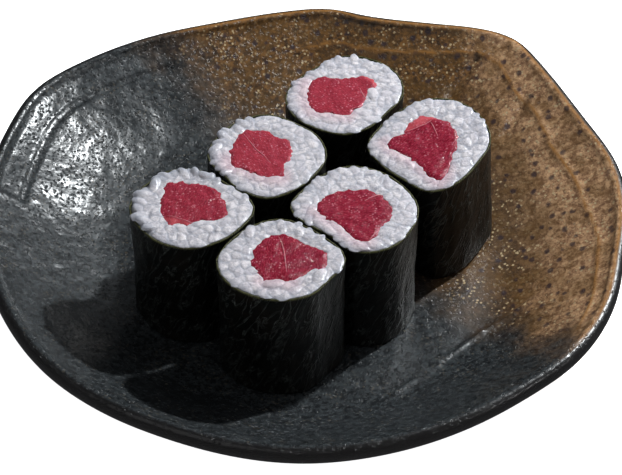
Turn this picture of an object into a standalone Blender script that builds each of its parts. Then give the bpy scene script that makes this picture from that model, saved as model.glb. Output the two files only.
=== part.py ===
"""Six tuna maki rolls standing on the floor of a hand-formed stoneware dish.

+X is to the diner's right, +Y away from the diner, +Z up. The origin is on the table,
under the middle of the dish. Sizes below are in millimetres and angles in degrees,
counted from +X towards +Y; meshes are made in metres.
"""

import math
from collections import namedtuple

import bmesh
import bpy
from mathutils import Matrix, Vector, noise

MM = 0.001
GAP = 0.3                   # left between pieces that touch

# The dish: pressed by hand over a mould, so its rim runs in soft corners.
DISH_HEIGHT = 24.0
FLOOR_TOP = 8.0
FLOOR_UNDERSIDE = 3.4
FLOOR_RADIUS = 46.0
FOOT_OUTER = 41.0
FOOT_INNER = 34.0
FOOT_SLOPE = 1.5            # the ring's sides slope in by so much,
FOOT_CORNER = 1.2           # with its outer corner so far above the table
FOOT_STEP = 0.6             # and a step down from the wall above it
FLOOR_RING = 0.55           # a ring of points at this share of the way out on the floor
DISH_SEGMENTS = 72
HIGH_SIDE = 24.0            # direction in which the floor starts to rise early
HIGH_SIDE_DEPTH = 9.0       # by so much nearer to the middle
HIGH_SIDE_SPREAD = 26.0
# The crest of the rim: direction and distance from the middle.
RIM = (
    (0, 76.0), (13, 77.2), (26, 76.6), (36, 78.4), (45, 81.8), (51, 84.5), (57, 82.6),
    (66, 78.1), (78, 75.6), (86, 77.8), (97, 76.4), (109, 75.9), (123, 78.4),
    (136, 81.2), (147, 83.7), (158, 81.6), (172, 80.0), (188, 78.8), (203, 77.8),
    (219, 77.2), (231, 76.0), (246, 74.6), (268, 74.6), (284, 73.8), (300, 73.4),
    (312, 73.8), (323, 75.4), (337, 75.7), (350, 74.8),
)
# Inner face, from the edge of the floor (0) to the crest (1): outward share, share of the rise.
WALL_INSIDE = ((0.0, 0.0), (0.16, 0.06), (0.36, 0.24), (0.58, 0.49), (0.78, 0.74), (0.92, 0.91))
# The lip, as steps outward from the crest and down from it.
LIP = ((-2.4, 0.45), (-1.2, 0.0), (0.0, 0.3), (0.75, 1.3), (0.9, 3.4), (-0.4, 5.2))
# Outer face, from the foot (0) to the lip (1).
WALL_OUTSIDE = ((0.72, 0.62), (0.40, 0.28), (0.12, 0.06))

# The rolls: one sheet of nori, rolled round the filling and cut in six.
SHEET_LENGTH = 190.0
ROLL_COUNT = 6
ROLL_HEIGHT = SHEET_LENGTH / ROLL_COUNT
NORI_THICK = 0.4
LAP_WIDTH = 26.0            # degrees of wall on which the sheet lies over its own edge
LAP_STEP = 0.35
WAIST = 0.5                 # the wall wanders in by up to so much at mid height,
WAIST_WAVE = 8.3            # in waves of about this length
RICE_CROWN = 0.4            # grains stand so far above the cut edge of the nori,
RICE_CROWN_SHARES = (0.2, 0.7)   # between these shares of the way from nori to fish,
RICE_UNEVEN = 0.45          # and wander up and down by so much
RICE_WAVE = 3.0
EDGE_DROP = 0.3             # rice at the nori and fish at its rim lie this low and this uneven
TUNA_PROUD = 0.35           # the fish stands above the cut edge of the nori,
TUNA_SHOULDER = 0.15        # from this share of the way in from its rim
TUNA_UNEVEN = 0.2
ROLL_SEGMENTS = 36
RADII_STEP = 30

# x and y are the middle of the base. lean_x and lean_y tip the top towards +X and +Y.
# radii are the outside of the nori every 30 degrees, starting towards +X.
# lap is the direction of the sheet's end. tuna is the outline of the fish, corner by corner.
Roll = namedtuple("Roll", "x y lift lean_x lean_y lap radii tuna")
ROLLS = (
    Roll(-25.9, -16.3, 0.0, 0.0, 0.0, 118,
         (14.6, 11.8, 11.4, 12.9, 13.8, 13.8, 14.7, 13.7, 13.7, 13.6, 13.2, 13.4),
         ((-7.7, 7.8), (-5.0, 8.8), (-1.5, 8.8), (2.5, 7.7), (5.4, 7.4), (6.4, 4.6), (8.8, 0.8),
          (9.2, -2.5), (7.0, -5.0), (1.5, -5.3), (-0.2, -7.0), (-3.4, -6.0), (-5.3, -6.9),
          (-6.5, -4.7), (-8.3, -2.2), (-8.0, 3.0))),
    Roll(-5.2, -33.0, 0.0, 0.0, 0.0, 150,
         (14.8, 12.5, 11.9, 13.0, 12.8, 13.1, 14.8, 14.4, 13.4, 13.1, 13.3, 12.9),
         ((-2.9, 8.4), (0.0, 8.4), (3.2, 7.6), (5.8, 5.4), (11.2, 2.2), (11.6, -0.8), (10.8, -4.0),
          (8.0, -4.2), (3.1, -7.2), (2.0, -8.5), (-0.2, -7.2), (-3.0, -7.9), (-5.0, -7.0),
          (-5.8, -4.8), (-7.6, -2.4), (-6.2, 3.8), (-4.5, 6.5))),
    Roll(-8.8, 1.2, 0.0, 0.0, 0.0, 200,
         (14.2, 14.0, 13.4, 14.7, 14.2, 13.8, 14.3, 12.6, 13.2, 14.7, 13.5, 13.2),
         ((-6.1, 9.4), (-2.9, 9.7), (0.4, 9.3), (2.4, 6.6), (6.1, 6.3), (6.3, 0.5), (5.2, -2.8),
          (4.5, -8.6), (2.5, -9.0), (-0.2, -8.5), (-6.1, -5.5), (-9.4, -4.4), (-9.6, 2.0),
          (-8.3, 5.9))),
    Roll(11.5, -16.6, 0.0, 0.0, 0.0, 60,
         (15.1, 14.0, 14.0, 14.5, 13.5, 13.4, 14.9, 11.7, 10.8, 14.2, 15.4, 15.0),
         ((-2.6, 6.6), (-8.6, 2.9), (-10.2, 0.3), (-9.0, -1.8), (-3.6, -6.8), (0.2, -11.6),
          (1.4, -12.4), (5.4, -10.8), (6.6, -6.7), (8.8, -5.0), (10.0, -0.4), (8.6, 2.6),
          (4.4, 6.4), (0.6, 6.3))),
    Roll(9.5, 23.0, 0.0, 0.0, 0.0, 240,
         (14.6, 15.5, 15.1, 14.6, 12.3, 12.5, 14.2, 14.6, 14.2, 14.6, 13.3, 12.5),
         ((-9.3, 4.8), (-7.4, 6.7), (-4.7, 7.2), (0.4, 5.6), (2.9, 7.4), (6.2, 7.0), (8.2, 5.2),
          (9.1, 2.6), (6.0, -0.6), (5.2, -5.4), (2.6, -6.6), (1.6, -8.7), (-2.6, -8.3),
          (-4.4, -7.3), (-7.9, -7.8), (-9.4, -2.0), (-9.5, 2.4))),
    Roll(31.6, 6.1, 1.4, -3.8, -4.2, 180,
         (14.8, 15.3, 15.8, 15.1, 13.4, 13.3, 14.8, 13.0, 12.8, 15.3, 14.1, 13.2),
         ((-10.6, 2.6), (-6.3, 3.8), (-6.1, 6.4), (-4.2, 8.4), (-0.9, 9.8), (4.5, 8.1), (8.0, 4.6),
          (7.0, 2.2), (7.4, -1.8), (5.9, -3.8), (5.9, -6.6), (3.3, -13.0), (0.8, -13.0),
          (-3.6, -6.0), (-9.0, -2.0), (-10.6, 0.6))),
)


def clear_scene():
    for item in list(bpy.data.objects):
        bpy.data.objects.remove(item, do_unlink=True)


def material(name, colour, roughness, metallic=0.0):
    """A plain finish; colour is linear red, green and blue."""
    finish = bpy.data.materials.new(name)
    finish.use_nodes = True
    shader = finish.node_tree.nodes["Principled BSDF"]
    shader.inputs["Base Color"].default_value = (*colour, 1.0)
    shader.inputs["Roughness"].default_value = roughness
    shader.inputs["Metallic"].default_value = metallic
    return finish


def curve_through(values, place):
    """A smooth closed curve through evenly spaced values, read at a fractional place."""
    first = math.floor(place)
    share = place - first
    before, start, end, after = (values[(first + step) % len(values)] for step in (-1, 0, 1, 2))
    bend = 2 * before - 5 * start + 4 * end - after
    twist = 3 * (start - end) + after - before
    return start + 0.5 * share * (end - before + share * (bend + share * twist))


def ring_angles(count):
    return [math.tau * step / count for step in range(count)]


def polar(radius, angle):
    return Vector((radius * math.cos(angle), radius * math.sin(angle)))


def lift(outline, height):
    """Places a flat outline at one height, or at one height for each of its points."""
    heights = height if isinstance(height, list) else [height] * len(outline)
    return [Vector((point.x, point.y, z)) for point, z in zip(outline, heights)]


def skin_rings(rings, closed=False):
    """Quads from each ring to the next, then caps, or back to the first ring if closed."""
    mesh = bmesh.new()
    rows = [[mesh.verts.new(point * MM) for point in ring] for ring in rings]
    count = len(rows[0])
    pairs = list(zip(rows, rows[1:]))
    if closed:
        pairs.append((rows[-1], rows[0]))
    for lower, upper in pairs:
        for here in range(count):
            there = (here + 1) % count
            mesh.faces.new((lower[here], lower[there], upper[there], upper[here]))
    if not closed:
        for row in (rows[0], rows[-1]):
            middle = mesh.verts.new(sum((vert.co for vert in row), Vector()) / count)
            for here in range(count):
                mesh.faces.new((row[here], row[(here + 1) % count], middle))
    bmesh.ops.recalc_face_normals(mesh, faces=mesh.faces)
    return mesh


def add_object(name, mesh, finish, sharp_degrees=35.0):
    data = bpy.data.meshes.new(name)
    mesh.to_mesh(data)
    mesh.free()
    data.materials.append(finish)
    data.shade_smooth()
    data.set_sharp_from_angle(angle=math.radians(sharp_degrees))
    item = bpy.data.objects.new(name, data)
    bpy.context.collection.objects.link(item)
    return item


# ---- the dish

def rim_radius(angle):
    """Distance of the crest from the middle: a cubic between the rim's named directions."""
    degrees = math.degrees(angle) % 360
    turns = [(direction - 360, radius) for direction, radius in RIM[-2:]]
    turns += list(RIM)
    turns += [(direction + 360, radius) for direction, radius in RIM[:3]]
    here = max(index for index, turn in enumerate(turns[:-2]) if turn[0] <= degrees)
    before, start, end, after = turns[here - 1:here + 3]
    span = end[0] - start[0]
    share = (degrees - start[0]) / span
    slope_in = (end[1] - before[1]) / (end[0] - before[0]) * span
    slope_out = (after[1] - start[1]) / (after[0] - start[0]) * span
    rise = end[1] - start[1]
    square = share * share * (3 * rise - 2 * slope_in - slope_out)
    cube = share ** 3 * (slope_in + slope_out - 2 * rise)
    return start[1] + slope_in * share + square + cube


def floor_radius(angle):
    """The flat floor ends nearer to the middle on the high side."""
    away = (math.degrees(angle) - HIGH_SIDE + 180) % 360 - 180
    return FLOOR_RADIUS - HIGH_SIDE_DEPTH * math.exp(-(away / HIGH_SIDE_SPREAD) ** 2)


def dish_section(angle):
    """Radius and height down one cut of the dish, from under its middle round to the floor."""
    crest = rim_radius(angle)
    floor = floor_radius(angle)
    rise = DISH_HEIGHT - FLOOR_TOP
    lip = [(crest + out, DISH_HEIGHT - down) for out, down in LIP]
    lip_low_radius, lip_low = lip[-1]
    outside = [
        (FOOT_OUTER + share * (lip_low_radius - FOOT_OUTER),
         FLOOR_UNDERSIDE + height * (lip_low - FLOOR_UNDERSIDE))
        for share, height in WALL_OUTSIDE
    ]
    inside = [
        (floor + share * (crest - floor), FLOOR_TOP + height * rise)
        for share, height in WALL_INSIDE
    ]
    foot = [
        (FOOT_INNER - FOOT_SLOPE, FLOOR_UNDERSIDE), (FOOT_INNER, 0.0), (FOOT_OUTER - FOOT_SLOPE, 0.0),
        (FOOT_OUTER, FOOT_CORNER), (FOOT_OUTER, FLOOR_UNDERSIDE - FOOT_STEP),
    ]
    top = inside[::-1] + [(floor * FLOOR_RING, FLOOR_TOP)]
    return foot + outside[::-1] + lip[::-1] + top


def make_dish(finish):
    sections = [
        [polar(radius, angle).to_3d() + Vector((0, 0, height))
         for radius, height in dish_section(angle)]
        for angle in ring_angles(DISH_SEGMENTS)
    ]
    rings = [list(ring) for ring in zip(*sections)]
    middle = (
        Vector(min(point[axis] for ring in rings for point in ring) for axis in range(3))
        + Vector(max(point[axis] for ring in rings for point in ring) for axis in range(3))
    ) / 2
    middle.z = 0
    rings = [[point - middle for point in ring] for ring in rings]
    return add_object("dish", skin_rings(rings), finish)


# ---- the rolls

def roll_outline(roll, inset):
    """The roll's outline, moved in from the outside of the nori."""
    return [
        polar(curve_through(roll.radii, math.degrees(angle) / RADII_STEP) - inset, angle)
        for angle in ring_angles(ROLL_SEGMENTS)
    ]


def tuna_outline(roll):
    """Where a line from the roll's middle, in each direction, crosses the edge of the fish."""
    corners = [Vector(corner) for corner in roll.tuna]
    outline = []
    for angle in ring_angles(ROLL_SEGMENTS):
        ray = polar(1.0, angle)
        for start, end in zip(corners, corners[1:] + corners[:1]):
            edge = end - start
            across = ray.x * edge.y - ray.y * edge.x
            if abs(across) < 1e-9:
                continue
            reach = (start.x * edge.y - start.y * edge.x) / across
            share = (start.x * ray.y - start.y * ray.x) / across
            if reach > 0 and 0 <= share <= 1:
                outline.append(ray * reach)
                break
    return outline


def move_edge(outline, distance):
    """Moves each point of a closed outline out along its normal, or in if negative."""
    moved = []
    for index, point in enumerate(outline):
        along = outline[(index + 1) % len(outline)] - outline[index - 1]
        moved.append(point + Vector((along.y, -along.x)).normalized() * distance)
    return moved


def waist(outline, seed):
    """The same outline at mid height, drawn in here and there."""
    drawn_in = []
    for point in outline:
        wave = noise.noise(point.to_3d() / WAIST_WAVE + Vector((0, 0, seed)))
        amount = WAIST * (0.5 + 0.5 * wave)
        drawn_in.append(point - point.normalized() * amount)
    return drawn_in


def uneven(outline, level, amount, seed):
    """Heights that wander about a level, as packed grains do."""
    return [
        level + amount * noise.noise(Vector((point.x / RICE_WAVE, point.y / RICE_WAVE, seed)))
        for point in outline
    ]


def between(inner, outer, share):
    return [a.lerp(b, share) for a, b in zip(inner, outer)]


def nori_rings(roll, seed):
    outside = roll_outline(roll, 0.0)
    inside = roll_outline(roll, NORI_THICK)
    for index, angle in enumerate(ring_angles(ROLL_SEGMENTS)):
        past_lap = (math.degrees(angle) - roll.lap) % 360
        if past_lap < LAP_WIDTH:
            step = LAP_STEP * (1 - past_lap / LAP_WIDTH)
            outside[index] += outside[index].normalized() * (step - LAP_STEP)
    middle = ROLL_HEIGHT / 2
    return [
        lift(outside, 0.0), lift(waist(outside, seed), middle), lift(outside, ROLL_HEIGHT),
        lift(inside, ROLL_HEIGHT), lift(waist(inside, seed), middle), lift(inside, 0.0),
    ]


def rice_rings(roll, seed):
    outside = roll_outline(roll, NORI_THICK + GAP)
    hole = move_edge(tuna_outline(roll), GAP / 2)
    top = ROLL_HEIGHT + RICE_CROWN
    near, far = (between(outside, hole, share) for share in RICE_CROWN_SHARES)
    return [
        lift(outside, 0.0), lift(waist(outside, seed), ROLL_HEIGHT / 2),
        lift(outside, uneven(outside, ROLL_HEIGHT - EDGE_DROP, EDGE_DROP, seed)),
        lift(near, uneven(near, top, RICE_UNEVEN, seed)),
        lift(far, uneven(far, top, RICE_UNEVEN, seed)),
        lift(hole, uneven(hole, ROLL_HEIGHT, EDGE_DROP, seed)),
        lift(hole, 0.0),
    ]


def tuna_rings(roll, seed):
    outline = move_edge(tuna_outline(roll), -GAP / 2)
    shoulder = between(outline, [Vector((0, 0))] * len(outline), TUNA_SHOULDER)
    top = ROLL_HEIGHT + TUNA_PROUD
    return [
        lift(outline, 0.0),
        lift(outline, uneven(outline, ROLL_HEIGHT - TUNA_UNEVEN, TUNA_UNEVEN, seed)),
        lift(shoulder, uneven(shoulder, top, TUNA_UNEVEN, seed)),
    ]


def stand_roll(roll, mesh):
    """Stands a roll on the floor of the dish, with its lean about the middle of its base."""
    place = Vector((roll.x, roll.y, FLOOR_TOP + GAP + roll.lift)) * MM
    tip = Matrix.Rotation(math.radians(roll.lean_x), 4, "Y")
    nod = Matrix.Rotation(math.radians(-roll.lean_y), 4, "X")
    mesh.transform(Matrix.Translation(place) @ nod @ tip)
    return mesh


def make_roll(number, roll, finishes):
    layers = {
        "nori": skin_rings(nori_rings(roll, number), closed=True),
        "rice": skin_rings(rice_rings(roll, number), closed=True),
        "tuna": skin_rings(tuna_rings(roll, number)),
    }
    for layer, mesh in layers.items():
        add_object(f"{layer}_{number}", stand_roll(roll, mesh), finishes[layer])


clear_scene()
make_dish(material("dish_glaze", (0.035, 0.030, 0.028), 0.28, 0.2))
roll_finishes = {
    "nori": material("nori", (0.006, 0.008, 0.005), 0.45),
    "rice": material("rice", (0.68, 0.70, 0.74), 0.30),
    "tuna": material("tuna", (0.42, 0.03, 0.05), 0.28),
}
for roll_number, roll_sizes in enumerate(ROLLS, start=1):
    make_roll(roll_number, roll_sizes, roll_finishes)
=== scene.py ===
"""Looks of six tuna maki rolls on a hand-formed stoneware dish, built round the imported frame."""

import math
import random

import bpy
import numpy as np
from mathutils import Matrix, Vector, noise
from mathutils.bvhtree import BVHTree


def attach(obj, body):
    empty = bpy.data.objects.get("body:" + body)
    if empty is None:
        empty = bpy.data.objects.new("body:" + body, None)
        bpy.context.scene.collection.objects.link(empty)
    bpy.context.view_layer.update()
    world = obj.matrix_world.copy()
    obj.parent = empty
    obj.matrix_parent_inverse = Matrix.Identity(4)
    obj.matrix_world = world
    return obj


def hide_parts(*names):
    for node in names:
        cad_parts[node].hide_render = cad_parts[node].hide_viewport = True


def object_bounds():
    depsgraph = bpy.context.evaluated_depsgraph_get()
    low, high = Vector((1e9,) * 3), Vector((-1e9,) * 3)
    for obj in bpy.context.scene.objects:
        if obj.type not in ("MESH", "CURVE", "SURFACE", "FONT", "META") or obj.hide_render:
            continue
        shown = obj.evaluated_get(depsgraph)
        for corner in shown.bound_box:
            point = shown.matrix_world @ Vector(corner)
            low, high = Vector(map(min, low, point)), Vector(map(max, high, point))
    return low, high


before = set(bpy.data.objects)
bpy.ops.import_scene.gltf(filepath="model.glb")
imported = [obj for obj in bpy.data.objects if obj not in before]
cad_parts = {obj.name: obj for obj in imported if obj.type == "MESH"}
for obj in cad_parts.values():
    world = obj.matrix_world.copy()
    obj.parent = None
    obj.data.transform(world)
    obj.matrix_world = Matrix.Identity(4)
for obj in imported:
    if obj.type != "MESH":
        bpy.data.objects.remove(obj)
cad_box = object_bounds()


# ---- Camera
# A short telephoto view from the diner's side, looking down at 45 degrees onto the cut ends
# of the rolls, with the whole dish in the frame.

MM = 0.001
CAMERA_TARGET = Vector((1.56, -6.27, 20.0)) * MM
CAMERA_DISTANCE = 550 * MM
CAMERA_ELEVATION = math.radians(45)
CAMERA_LENS = 132.4             # mm, on a film 36 mm wide

bpy.ops.object.select_all(action="DESELECT")
camera_data = bpy.data.cameras.new("camera")
camera_data.lens = CAMERA_LENS
camera_data.sensor_width = 36.0
camera_data.clip_start = 10 * MM
camera = bpy.data.objects.new("camera", camera_data)
bpy.context.collection.objects.link(camera)
towards_camera = Vector((0.0, -math.cos(CAMERA_ELEVATION), math.sin(CAMERA_ELEVATION)))
camera.location = CAMERA_TARGET + towards_camera * CAMERA_DISTANCE
camera.rotation_euler = (math.radians(90) - CAMERA_ELEVATION, 0.0, 0.0)
bpy.context.scene.camera = camera


# ---- Dish
# A stoneware plate pressed by hand over a mould and dipped in two glazes, a slate one and a
# brown one, that meet across the floor. The soft clay left a groove on the left, folds and a
# low ridge on the right, and the thick glaze melted to a dimpled skin with pits in it.

MERGE = 0.01 * MM               # corners closer than this become one
WALL_START = 34.0               # mm from the middle: the faces beyond it are divided once more
SLATE_TO_BROWN = (0.738, 0.675)     # direction across the line where the glazes meet
GROOVE_TURNS = (121.0, 173.0)   # degrees from +X towards +Y
GROOVE_INSET = 7.6              # mm inside the crest
GROOVE_DEPTH = 0.75
GROOVE_HALF_WIDTH = 0.5
LIP_SAG = 0.8                   # above the groove the wall leans out, by so much at the crest
RIDGE_HEIGHT = 0.4
RIDGE_HALF_WIDTH = 0.5
RIDGE_MIDDLE = 31               # in degrees; the ridge fades out beyond the half turn
RIDGE_HALF_TURN = 58
RIDGE_FADE = 5.0
# The low ridge inside the right-hand rim: direction in degrees, mm inside the crest.
RIDGE = ((-30, 3.2), (-19, 3.8), (-6, 4.6), (8, 8.6), (23, 9.0), (35, 7.2), (42, 8.2),
         (55, 6.0), (63, 6.6), (82, 6.8), (92, 8.8))
# Folds and dents in the wall, from end to end: x, y in mm, then height and half width.
FOLDS = (
    ((21.0, -46.0), (42.0, -27.0), 0.5, 0.7), ((42.0, -27.0), (61.0, -15.0), 0.6, 0.7),
    ((49.0, -53.0), (68.0, -40.0), 0.5, 0.8), ((44.3, 59.4), (37.7, 51.4), -0.9, 1.4),
    ((55.8, 42.9), (50.7, 35.1), -0.9, 1.3),
)


def solo(item):
    """Makes one object the only one selected, and the active one."""
    bpy.ops.object.select_all(action="DESELECT")
    item.select_set(True)
    bpy.context.view_layer.objects.active = item


def copy_node(name, node):
    """A piece that starts as a merged copy of a CAD node's mesh."""
    piece = bpy.data.objects.new(name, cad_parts[node].data.copy())
    bpy.context.collection.objects.link(piece)
    piece.data.materials.clear()
    solo(piece)
    bpy.ops.mesh.customdata_custom_splitnormals_clear()
    bpy.ops.object.mode_set(mode="EDIT")
    bpy.ops.mesh.select_all(action="SELECT")
    bpy.ops.mesh.remove_doubles(threshold=MERGE)
    bpy.ops.mesh.tris_convert_to_quads()
    bpy.ops.object.mode_set(mode="OBJECT")
    return piece


def apply_modifier(piece, kind, **settings):
    """Adds a modifier with its settings, and applies it."""
    solo(piece)
    modifier = piece.modifiers.new(kind, kind)
    for setting, value in settings.items():
        setattr(modifier, setting, value)
    bpy.ops.object.modifier_apply(modifier=modifier.name)


def read_vectors(collection, field="co"):
    """The vectors of a mesh's vertices or faces, one row each."""
    values = np.empty(len(collection) * 3)
    collection.foreach_get(field, values)
    return values.reshape(-1, 3)


def write_points(mesh, points):
    """Moves a mesh's vertices, one row each."""
    mesh.vertices.foreach_set("co", points.ravel())
    mesh.update()


def write_attribute(mesh, name, values):
    """A number for each vertex, which a material can read."""
    layer = mesh.attributes.new(name, "FLOAT", "POINT")
    layer.data.foreach_set("value", np.asarray(values, np.float32))


def wander(points, grain, seed):
    """Smooth noise from -1 to 1 at each point, with features of about the size of grain."""
    shift = Vector((seed * 7.3, seed * 3.1, seed * 5.7))
    return np.array([noise.noise(Vector(point) / grain + shift) for point in points])


def hump(distance, half_width):
    """1 at no distance, falling smoothly to nothing at about twice the half width."""
    return np.exp(-(distance / half_width) ** 2)


def from_segment(points, start, end):
    """Distance of flat points from a straight segment."""
    along = end - start
    share = np.clip(((points - start) @ along) / (along @ along), 0.0, 1.0)
    return np.linalg.norm(points - start - share[:, None] * along, axis=1)


dish = copy_node("glazed_dish", "dish")
dish_points = read_vectors(dish.data.vertices) / MM
foot = dish_points[dish_points[:, 2] < 0.1]
dish_middle = (foot[:, :2].min(axis=0) + foot[:, :2].max(axis=0)) / 2
crest = dish_points[dish_points[:, 2] > dish_points[:, 2].max() - 0.01][:, :2] - dish_middle
crest_turn = np.degrees(np.arctan2(crest[:, 1], crest[:, 0]))
crest_order = np.argsort(crest_turn)
crest_turn = crest_turn[crest_order]
crest_reach = np.linalg.norm(crest, axis=1)[crest_order]


def inset_from_crest(points):
    """Direction in degrees about the dish's middle, and mm inside the crest of the rim."""
    flat = points[:, :2] - dish_middle
    turn = np.degrees(np.arctan2(flat[:, 1], flat[:, 0]))
    return turn, np.interp(turn, crest_turn, crest_reach, period=360) - np.linalg.norm(flat, axis=1)


apply_modifier(dish, "SUBSURF", levels=2, render_levels=2)
face_normals = read_vectors(dish.data.polygons, "normal")
face_centres = read_vectors(dish.data.polygons, "center") / MM
face_reach = np.linalg.norm(face_centres[:, :2] - dish_middle, axis=1)
on_wall = (face_normals[:, 2] > 0.2) & (face_reach > WALL_START)
solo(dish)
bpy.context.tool_settings.mesh_select_mode = (False, False, True)
bpy.ops.object.mode_set(mode="EDIT")
bpy.ops.mesh.select_all(action="DESELECT")
bpy.ops.object.mode_set(mode="OBJECT")
dish.data.polygons.foreach_set("select", on_wall)
bpy.ops.object.mode_set(mode="EDIT")
bpy.ops.mesh.subdivide(number_cuts=1, smoothness=0.0)
bpy.ops.object.mode_set(mode="OBJECT")

dish_points = read_vectors(dish.data.vertices) / MM
dish_normals = read_vectors(dish.data.vertices, "normal")
turn, inset = inset_from_crest(dish_points)
inner_face = np.clip(inset / 2.5, 0, 1) * (dish_normals[:, 2] > 0.1) * (dish_points[:, 2] > 6)
groove = ((turn > GROOVE_TURNS[0]) & (turn < GROOVE_TURNS[1])) * 1.0
groove_off = np.abs(inset - GROOVE_INSET)
ridge_turns, ridge_insets = zip(*RIDGE)
ridge = hump(inset - np.interp(turn, ridge_turns, ridge_insets), RIDGE_HALF_WIDTH)
ridge *= hump(np.clip(np.abs(turn - RIDGE_MIDDLE) - RIDGE_HALF_TURN, 0, None), RIDGE_FADE)
slate_side = np.clip(0.5 - (dish_points[:, :2] @ SLATE_TO_BROWN - 15) / 30, 0, 1)
relief = 0.4 * wander(dish_points, 12.0, 1)                     # the hand's uneven pressing
relief += 0.14 * slate_side * wander(dish_points, 3.2, 2)       # thicker, lumpier slate glaze
relief -= groove * GROOVE_DEPTH * hump(groove_off, GROOVE_HALF_WIDTH)
relief -= groove * LIP_SAG * np.clip(1 - inset / GROOVE_INSET, 0, 1)
relief += RIDGE_HEIGHT * ridge
for fold_start, fold_end, fold_height, fold_width in FOLDS:
    off = from_segment(dish_points[:, :2], np.array(fold_start), np.array(fold_end))
    relief += fold_height * hump(off, fold_width)
dish_points += dish_normals * (relief * inner_face)[:, None]
write_points(dish.data, dish_points * MM)
write_attribute(dish.data, "inset", inset)
write_attribute(dish.data, "ridge", ridge * inner_face)
dish.data.shade_smooth()


def linear(hex_colour):
    """An sRGB hex colour as linear red, green, blue and alpha."""
    shares = [int(hex_colour[place:place + 2], 16) / 255 for place in (1, 3, 5)]
    return [c / 12.92 if c <= 0.04045 else ((c + 0.055) / 1.055) ** 2.4 for c in shares] + [1.0]


def new_material(name):
    material = bpy.data.materials.new(name)
    material.use_nodes = True
    return material, material.node_tree.nodes["Principled BSDF"]


def add_node(material, kind, links=None, **settings):
    """Adds a node, or takes one that is there; links gives each socket a value or another's output."""
    tree = material.node_tree
    node = tree.nodes.new(kind) if isinstance(kind, str) else kind
    for setting, value in settings.items():
        setattr(node, setting, value)
    for socket, value in (links or {}).items():
        if isinstance(value, bpy.types.NodeSocket):
            tree.links.new(value, node.inputs[socket])
        else:
            node.inputs[socket].default_value = value
    return node


# Stoneware glaze: glassy but not flat, so light breaks up on its dimples. Iron in the brown
# glaze shows as orange where it is thin, on edges, and as near-black spots where it is thick.
# Each glaze is mottled at 1.5 mm, as coarse as a run of molten glaze needs to show here.
glaze, glaze_shader = new_material("stoneware_glaze")

# How far the brown glaze covers the slate one: a line across the floor that wanders in blotches.
place = add_node(glaze, "ShaderNodeTexCoord").outputs["Object"]
towards_brown = (SLATE_TO_BROWN[0] / MM, SLATE_TO_BROWN[1] / MM, 0.0)
along = add_node(glaze, "ShaderNodeVectorMath", {0: place, 1: towards_brown}, operation="DOT_PRODUCT"
                 ).outputs["Value"]
blotch = add_node(glaze, "ShaderNodeTexNoise", {"Vector": place, "Scale": 1 / (14 * MM), "Detail": 5.0,
                                                "Roughness": 0.65}).outputs["Fac"]
meeting = add_node(glaze, "ShaderNodeMath", {0: blotch, 1: 34.0, 2: along},
                   operation="MULTIPLY_ADD").outputs["Value"]
brown_side = add_node(glaze, "ShaderNodeMapRange", {"Value": meeting, "From Min": 23.0,
                                                    "From Max": 46.0},
                      interpolation_type="SMOOTHSTEP").outputs["Result"]

# The ground of each glaze. The brown is paler towards the right-hand rim and darker on the floor.
fine_noise = add_node(glaze, "ShaderNodeTexNoise", {"Vector": place, "Scale": 1 / (1.5 * MM),
                                                    "Detail": 6.0, "Roughness": 0.75})
fine, fine_colour = fine_noise.outputs["Fac"], fine_noise.outputs["Color"]
fine_share = add_node(glaze, "ShaderNodeMapRange", {"Value": fine, "From Min": 0.41, "From Max": 0.61}
                      ).outputs["Result"]
browns = add_node(glaze, "ShaderNodeMix", {0: fine_share, 6: linear("#2f1d0d"), 7: linear("#7a5428")},
                  data_type="RGBA").outputs[2]
paler_browns = add_node(glaze, "ShaderNodeMix", {0: fine_share, 6: linear("#7d5a41"),
                                                 7: linear("#c79e76")}, data_type="RGBA").outputs[2]
across = add_node(glaze, "ShaderNodeVectorMath", {0: place, 1: (1.0 / MM, 0.1 / MM, 0.0)},
                  operation="DOT_PRODUCT").outputs["Value"]
paling = add_node(glaze, "ShaderNodeMath", {0: blotch, 1: 26.0, 2: across}, operation="MULTIPLY_ADD"
                  ).outputs["Value"]
paling = add_node(glaze, "ShaderNodeMapRange", {"Value": paling, "From Min": 58.0, "From Max": 73.0}
                  ).outputs["Result"]
browns = add_node(glaze, "ShaderNodeMix", {0: paling, 6: browns, 7: paler_browns},
                  data_type="RGBA").outputs[2]
cluster = add_node(glaze, "ShaderNodeTexNoise", {"Vector": place, "Scale": 1 / (6 * MM), "Detail": 4.0}
                   ).outputs["Fac"]
inset_value = add_node(glaze, "ShaderNodeAttribute", attribute_name="inset").outputs["Fac"]
floor_share = add_node(glaze, "ShaderNodeMapRange", {"Value": inset_value, "From Min": 14.0,
                                                     "From Max": 26.0, "To Max": 0.62}
                       ).outputs["Result"]
browns = add_node(glaze, "ShaderNodeMix", {0: floor_share, 6: browns, 7: linear("#2e2010")},
                  data_type="RGBA").outputs[2]
ochre = add_node(glaze, "ShaderNodeMapRange", {"Value": cluster, "From Min": 0.56, "From Max": 0.38,
                                               "To Max": 0.5}).outputs["Result"]
browns = add_node(glaze, "ShaderNodeMix", {0: ochre, 6: browns, 7: linear("#5f421a")},
                  data_type="RGBA").outputs[2]
slates = add_node(glaze, "ShaderNodeMix", {0: fine_share, 6: linear("#17191b"), 7: linear("#373b3d")},
                  data_type="RGBA").outputs[2]
ground = add_node(glaze, "ShaderNodeMix", {0: brown_side, 6: slates, 7: browns},
                  data_type="RGBA").outputs[2]

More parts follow.
